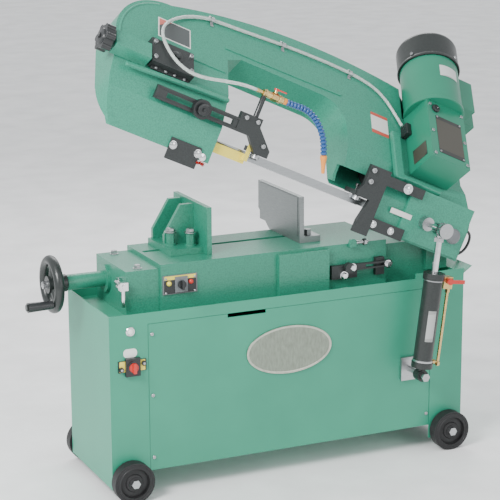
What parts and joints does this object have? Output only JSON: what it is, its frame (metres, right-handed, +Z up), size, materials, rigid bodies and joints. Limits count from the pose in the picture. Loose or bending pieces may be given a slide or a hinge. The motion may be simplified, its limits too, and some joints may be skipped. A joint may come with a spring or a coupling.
{
  "type": "horizontal band saw",
  "caption": "Horizontal metal-cutting band saw on a cabinet stand, with a pivoting saw bow, swivelling vise, feed cylinder and coolant line.",
  "frame": {"origin": "middle of the saw on the floor, under the middle of its box, with the bow raised as it is stored", "axes": "+X to the right along the table and the blade, +Y to the back, +Z up"},
  "size_m": [1.2524, 0.452, 1.1563],
  "materials": {
    "panel_green": "satin",
    "bow_green": "hammered",
    "bed_green": "satin",
    "black_paint": "satin",
    "cast_black": "cast",
    "steel": "brushed",
    "chrome": "polished",
    "tyre_black": "matte",
    "black_plastic": "matte",
    "grey_plastic": "matte",
    "brass": "satin",
    "red_plastic": "gloss",
    "yellow_paint": "satin",
    "clear_hose": "glossy",
    "blue_plastic": "gloss",
    "tank_plastic": "matte"
  },
  "bodies": {
    "base": {"left_stand": "panel_green", "right_stand": "panel_green", "front_panel": "panel_green", "rear_panel": "panel_green", "chip_tray": "panel_green", "coolant_tank": "tank_plastic", "coolant_pump": "grey_plastic", "axle_and_jaw_bolts": "steel", "bed_casting": "bed_green", "screw_housing": "bed_green", "pivot_shaft": "steel", "stop_link": "steel", "work_stop": "chrome", "power_switch": "black_plastic", "control_plate": "grey_plastic", "cylinder_bracket": "steel", "cable_loop": "black_plastic"},
    "caster_front_left": {"transport_wheel_front_left": "tyre_black"},
    "caster_front_right": {"transport_wheel_front_right": "tyre_black"},
    "caster_rear_left": {"transport_wheel_rear_left": "tyre_black"},
    "caster_rear_right": {"transport_wheel_rear_right": "tyre_black"},
    "fixed_jaw_body": {"fixed_jaw": "steel"},
    "jaw_body": {"movable_jaw": "bed_green", "vise_nut": "brass"},
    "screw_body": {"vise_screw": "steel", "vise_handwheel": "cast_black"},
    "grip_body": {"crank_grip": "black_plastic"},
    "finger_body": {"stop_finger": "chrome"},
    "power_knob_body": {"power_knob": "red_plastic"},
    "motor_knob_body": {"motor_knob": "black_plastic"},
    "barrel_body": {"cylinder_barrel": "black_paint", "cylinder_valve": "brass"},
    "rod_body": {"cylinder_rod": "chrome"},
    "cylinder_lever_body": {"cylinder_lever": "red_plastic"},
    "bow": {"bow_casting": "bow_green", "blade_cover": "bow_green", "feed_stud": "steel", "gearbox_housing": "bow_green", "motor_housing": "bow_green", "fan_cover": "black_paint", "motor_boxes": "bow_green", "saw_blade": "steel", "right_guide_arm": "cast_black", "coolant_hose": "clear_hose"},
    "slide_body": {"tension_slide": "cast_black"},
    "idler_body": {"idler_wheel": "cast_black"},
    "drive_body": {"drive_wheel": "cast_black", "worm_wheel": "brass"},
    "rotor_body": {"motor_rotor": "steel"},
    "left_guide": {"left_guide_arm": "cast_black", "blade_guard": "yellow_paint", "coolant_valve": "brass", "segmented_hose": "blue_plastic"},
    "left_front_roller_body": {"left_roller_front": "steel"},
    "left_rear_roller_body": {"left_roller_rear": "steel"},
    "right_front_roller_body": {"right_roller_front": "steel"},
    "right_rear_roller_body": {"right_roller_rear": "steel"},
    "tension_knob_body": {"tension_knob": "black_plastic"},
    "guide_knob_body": {"guide_knob": "black_plastic"},
    "coolant_tap_body": {"valve_lever": "red_plastic"}
  },
  "joints": [
    {"name": "head_lift", "type": "hinge", "parent": "base", "child": "bow", "pos_m": [0.43683, 0.02, 0.551], "axis": [0, 1, 0], "range_deg": [-24.5, 24], "deforming": ["cable_loop"]},
    {"name": "cylinder_swing", "type": "hinge", "parent": "base", "child": "barrel_body", "pos_m": [0.31283, -0.195, 0.225], "axis": [0, 1, 0], "range_deg": [-2.5, 2.5]},
    {"name": "rod_slide", "type": "slide", "parent": "barrel_body", "child": "rod_body", "axis": [0.13, 0, 0.9915], "range_m": [-0.036, 0.036]},
    {"name": "cylinder_valve_lever", "type": "hinge", "parent": "barrel_body", "child": "cylinder_lever_body", "pos_m": [0.38197, -0.195, 0.46001], "axis": [0, 1, 0], "range_deg": [-90, 0]},
    {"name": "vise_spin", "type": "hinge", "parent": "base", "child": "screw_body", "pos_m": [-0.47917, 0.073, 0.492], "axis": [1, 0, 0], "range_deg": [-2880, 16920]},
    {"name": "jaw_slide", "type": "slide", "parent": "base", "child": "jaw_body", "axis": [1, 0, 0], "range_m": [-0.04, 0.235]},
    {"name": "grip_spin", "type": "hinge", "parent": "screw_body", "child": "grip_body", "pos_m": [-0.57917, 0.0299, 0.45319], "axis": [1, 0, 0], "continuous": true},
    {"name": "fixed_jaw_swivel", "type": "hinge", "parent": "base", "child": "fixed_jaw_body", "pos_m": [0.10083, 0.05, 0.55], "axis": [0, 0, 1], "range_deg": [-45, 0]},
    {"name": "stop_finger_turn", "type": "hinge", "parent": "base", "child": "finger_body", "pos_m": [-0.41917, -0.07, 0.506], "axis": [0, 1, 0], "range_deg": [-90, 90]},
    {"name": "power_knob_turn", "type": "hinge", "parent": "base", "child": "power_knob_body", "pos_m": [-0.42417, -0.145, 0.328], "axis": [0, 1, 0], "range_deg": [0, 90]},
    {"name": "motor_knob_turn", "type": "hinge", "parent": "base", "child": "motor_knob_body", "pos_m": [-0.27417, -0.08, 0.496], "axis": [0, 1, 0], "range_deg": [0, 90]},
    {"name": "caster_front_left_spin", "type": "hinge", "parent": "base", "child": "caster_front_left", "pos_m": [-0.43417, -0.149, 0.05], "axis": [0, 1, 0], "continuous": true},
    {"name": "caster_front_right_spin", "type": "hinge", "parent": "base", "child": "caster_front_right", "pos_m": [0.42683, -0.149, 0.05], "axis": [0, 1, 0], "continuous": true},
    {"name": "caster_rear_left_spin", "type": "hinge", "parent": "base", "child": "caster_rear_left", "pos_m": [-0.43417, 0.179, 0.05], "axis": [0, 1, 0], "continuous": true},
    {"name": "caster_rear_right_spin", "type": "hinge", "parent": "base", "child": "caster_rear_right", "pos_m": [0.42683, 0.179, 0.05], "axis": [0, 1, 0], "continuous": true},
    {"name": "drive_spin", "type": "hinge", "parent": "bow", "child": "drive_body", "pos_m": [0.35238, -0.0002, 0.68158], "axis": [0.2932, -0.7071, 0.6434], "continuous": true},
    {"name": "idler_spin", "type": "hinge", "parent": "slide_body", "child": "idler_body", "pos_m": [-0.30188, -0.0002, 0.97975], "axis": [0.2932, -0.7071, 0.6434], "continuous": true},
    {"name": "motor_spin", "type": "hinge", "parent": "bow", "child": "rotor_body", "pos_m": [0.46832, 0.03728, 0.85642], "axis": [0.2932, 0.7071, 0.6434], "continuous": true},
    {"name": "left_front_roller_spin", "type": "hinge", "parent": "left_guide", "child": "left_front_roller_body", "pos_m": [-0.09318, -0.10107, 0.79144], "axis": [0.4147, 0, 0.91], "continuous": true},
    {"name": "left_rear_roller_spin", "type": "hinge", "parent": "left_guide", "child": "left_rear_roller_body", "pos_m": [-0.09318, -0.07957, 0.79144], "axis": [0.4147, 0, 0.91], "continuous": true},
    {"name": "right_front_roller_spin", "type": "hinge", "parent": "bow", "child": "right_front_roller_body", "pos_m": [0.17799, -0.10107, 0.66786], "axis": [0.4147, 0, 0.91], "continuous": true},
    {"name": "right_rear_roller_spin", "type": "hinge", "parent": "bow", "child": "right_rear_roller_body", "pos_m": [0.17799, -0.07957, 0.66786], "axis": [0.4147, 0, 0.91], "continuous": true},
    {"name": "left_guide_slide", "type": "slide", "parent": "bow", "child": "left_guide", "axis": [0.91, 0, -0.4147], "range_m": [-0.03, 0.08], "deforming": ["coolant_hose"]},
    {"name": "guide_knob_turn", "type": "hinge", "parent": "bow", "child": "guide_knob_body", "pos_m": [-0.24103, -0.13, 0.92036], "axis": [0, 1, 0], "range_deg": [-180, 180]},
    {"name": "coolant_tap_turn", "type": "hinge", "parent": "left_guide", "child": "coolant_tap_body", "pos_m": [-0.0461, -0.122, 0.95021], "axis": [0.4147, 0, 0.91], "range_deg": [0, 90]},
    {"name": "tension_knob_turn", "type": "hinge", "parent": "bow", "child": "tension_knob_body", "pos_m": [-0.46258, -0.08222, 1.09494], "axis": [0.91, 0, -0.4147], "range_deg": [0, 1441]},
    {"name": "tension_slide_move", "type": "slide", "parent": "bow", "child": "slide_body", "axis": [0.91, 0, -0.4147], "range_m": [0, 0.008]}
  ],
  "couplings": [
    {"joint": "cylinder_swing", "follows": "head_lift", "ratio": 0.07605},
    {"joint": "rod_slide", "follows": "head_lift", "m_per_rad": 0.0795},
    {"joint": "jaw_slide", "follows": "vise_spin", "m_per_rad": 0.00079577},
    {"joint": "idler_spin", "follows": "drive_spin", "ratio": 1},
    {"joint": "motor_spin", "follows": "drive_spin", "ratio": 24},
    {"joint": "left_front_roller_spin", "follows": "drive_spin", "ratio": -12.7},
    {"joint": "left_rear_roller_spin", "follows": "drive_spin", "ratio": 12.7},
    {"joint": "right_front_roller_spin", "follows": "drive_spin", "ratio": -12.7},
    {"joint": "right_rear_roller_spin", "follows": "drive_spin", "ratio": 12.7},
    {"joint": "tension_knob_turn", "follows": "tension_slide_move", "rad_per_m": 3141.6}
  ]
}
